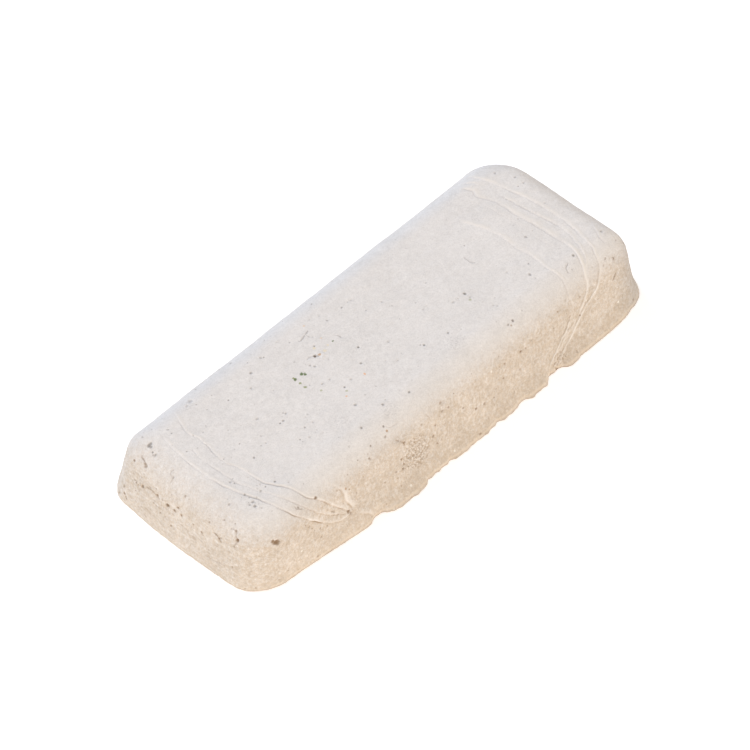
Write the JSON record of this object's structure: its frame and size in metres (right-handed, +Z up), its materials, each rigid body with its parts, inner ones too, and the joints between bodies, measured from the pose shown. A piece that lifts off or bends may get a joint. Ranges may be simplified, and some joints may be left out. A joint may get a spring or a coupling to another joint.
{
  "type": "gymnastics chalk block",
  "caption": "Solid bar of cast magnesium carbonate with broad rounded top edges, drafted walls, a flat foot and a ragged flash along one long side.",
  "frame": {"origin": "centre of the bar's outer box, on the flat foot", "axes": "+X along the bar, away from the end with the tucked-in corner; +Y across it, away from the ragged side; +Z up, out of the flat top"},
  "size_m": [0.1214, 0.0494, 0.0183],
  "materials": {
    "chalk": "matte"
  },
  "bodies": {
    "root": {"chalk_block": "chalk"}
  },
  "joints": []
}
